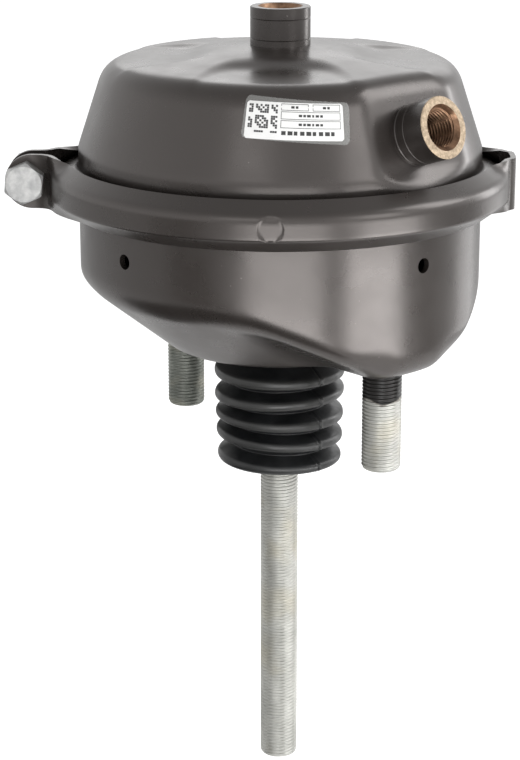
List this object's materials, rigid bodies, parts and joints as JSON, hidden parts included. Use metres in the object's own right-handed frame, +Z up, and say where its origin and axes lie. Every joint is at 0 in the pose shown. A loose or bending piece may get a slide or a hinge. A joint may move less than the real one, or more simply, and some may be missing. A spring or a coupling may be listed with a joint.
{
  "type": "air brake chamber",
  "caption": "Diaphragm air brake chamber: clamped pressed-steel housings, threaded air ports, mounting studs, rubber boot and a long threaded pushrod.",
  "frame": {"origin": "centre of the flat mounting face of the lower housing", "axes": "+Z up the main axis from the mounting face to the axial air port, +X along the line of the two mounting studs towards the side air port, +Y completes the right-handed set"},
  "size_m": [0.186, 0.186, 0.3258],
  "materials": {
    "housing_paint": "semi-gloss dark grey-black paint",
    "port_steel": "semi-gloss paint with bare brownish threads",
    "zinc_steel": "zinc plated, matt",
    "screw_zinc": "bright zinc plated",
    "inner_steel": "plain pressed steel",
    "spring_steel": "dark coated spring wire",
    "rubber": "matt moulded rubber",
    "guide_plastic": "natural plastic",
    "label_film": "white sticker film, no text"
  },
  "bodies": {
    "housing": {"pressure_housing": "housing_paint", "axial_port_boss": "port_steel", "side_port_boss": "port_steel", "mounting_housing": "housing_paint", "stud_plate": "inner_steel", "stud_near": "zinc_steel", "stud_far": "zinc_steel", "clamp_band": "housing_paint", "clamp_screw": "screw_zinc", "clamp_nut": "screw_zinc", "diaphragm": "rubber", "boot": "rubber", "boot_retainer": "inner_steel", "rod_guide": "guide_plastic", "return_spring": "spring_steel"},
    "rod": {"pushrod": "zinc_steel", "rod_hub": "inner_steel", "push_plate": "inner_steel"}
  },
  "joints": [
    {"name": "rod_slide", "type": "slide", "parent": "housing", "child": "rod", "axis": [0, 0, -1], "range_m": [0, 0.057], "stiffness_N_per_m": 2400, "springref_m": -0.05, "deforming": ["return_spring", "diaphragm", "boot"]}
  ]
}
